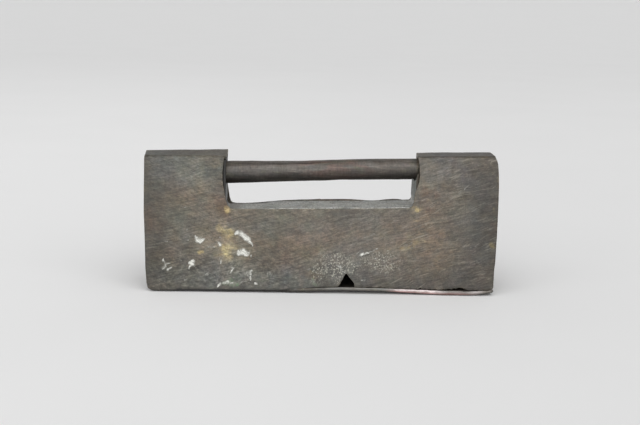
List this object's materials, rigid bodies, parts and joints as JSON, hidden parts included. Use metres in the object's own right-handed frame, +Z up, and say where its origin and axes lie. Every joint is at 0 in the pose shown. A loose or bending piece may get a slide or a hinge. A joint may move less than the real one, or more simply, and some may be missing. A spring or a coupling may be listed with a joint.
{
  "type": "sliding-bolt spring padlock",
  "caption": "Old sheet-bronze broad padlock: hollow body with two ears, round shackle bar across the notch, and a spring bolt that slides out lengthways.",
  "frame": {"origin": "centre of the underside, on the plane the lock rests on", "axes": "+X along the lock from the bolt's mouth to the keyhole end, +Y from the front face to the back face, +Z up from the underside to the ears"},
  "size_m": [0.13, 0.0302, 0.0501],
  "materials": {
    "aged_sheet_bronze": "dark grey-brown patina, finely scratched, with pale lime and green spots",
    "liner_sheet_bronze": "grey-green oxidised sheet",
    "plate_bronze": "grey-brown oxidised plate",
    "bar_bronze": "hammered, brown-grey, slightly polished by handling",
    "inner_brass": "dull brass, tarnished",
    "spring_brass": "springy rolled brass, lightly tarnished",
    "rivet_brass": "peened brass",
    "solder": "dull grey soft solder"
  },
  "bodies": {
    "lock_body": {"body_shell": "aged_sheet_bronze", "notch_liner": "liner_sheet_bronze", "bottom_plate": "plate_bronze", "mouth_wall": "inner_brass", "keyhole_plate": "plate_bronze", "ward_plate": "inner_brass", "front_seam_solder": "solder", "back_seam_solder": "solder", "keyhole_plate_solder": "solder"},
    "sliding_bolt": {"bolt_end_plate": "plate_bronze", "shackle_bar": "bar_bronze", "bolt_stem": "inner_brass", "rivet_upper_tip": "rivet_brass", "rivet_upper_inner": "rivet_brass", "rivet_lower_tip": "rivet_brass", "rivet_lower_inner": "rivet_brass"},
    "spring_front_upper_leaf": {"spring_front_upper": "spring_brass"},
    "spring_front_lower_leaf": {"spring_front_lower": "spring_brass"},
    "spring_back_upper_leaf": {"spring_back_upper": "spring_brass"},
    "spring_back_lower_leaf": {"spring_back_lower": "spring_brass"}
  },
  "joints": [
    {"name": "bolt_slide", "type": "slide", "parent": "lock_body", "child": "sliding_bolt", "axis": [-0.9995, 0, -0.0332], "range_m": [0, 0.118], "deforming": ["spring_front_upper", "spring_front_lower", "spring_back_upper", "spring_back_lower"]},
    {"name": "spring_front_upper_squeeze", "type": "hinge", "parent": "sliding_bolt", "child": "spring_front_upper_leaf", "pos_m": [0.01483, -0.0019, 0.01833], "axis": [0.0332, 0, -0.9995], "range_deg": [0, 3.2]},
    {"name": "spring_front_lower_squeeze", "type": "hinge", "parent": "sliding_bolt", "child": "spring_front_lower_leaf", "pos_m": [0.01498, -0.0019, 0.01403], "axis": [0.0332, 0, -0.9995], "range_deg": [0, 3.2]},
    {"name": "spring_back_upper_squeeze", "type": "hinge", "parent": "sliding_bolt", "child": "spring_back_upper_leaf", "pos_m": [0.01483, 0.0019, 0.01833], "axis": [-0.0332, 0, 0.9995], "range_deg": [0, 3.2]},
    {"name": "spring_back_lower_squeeze", "type": "hinge", "parent": "sliding_bolt", "child": "spring_back_lower_leaf", "pos_m": [0.01498, 0.0019, 0.01403], "axis": [-0.0332, 0, 0.9995], "range_deg": [0, 3.2]}
  ],
  "couplings": [
    {"joint": "spring_front_lower_squeeze", "follows": "spring_front_upper_squeeze", "ratio": 1},
    {"joint": "spring_back_upper_squeeze", "follows": "spring_front_upper_squeeze", "ratio": 1},
    {"joint": "spring_back_lower_squeeze", "follows": "spring_front_upper_squeeze", "ratio": 1}
  ]
}
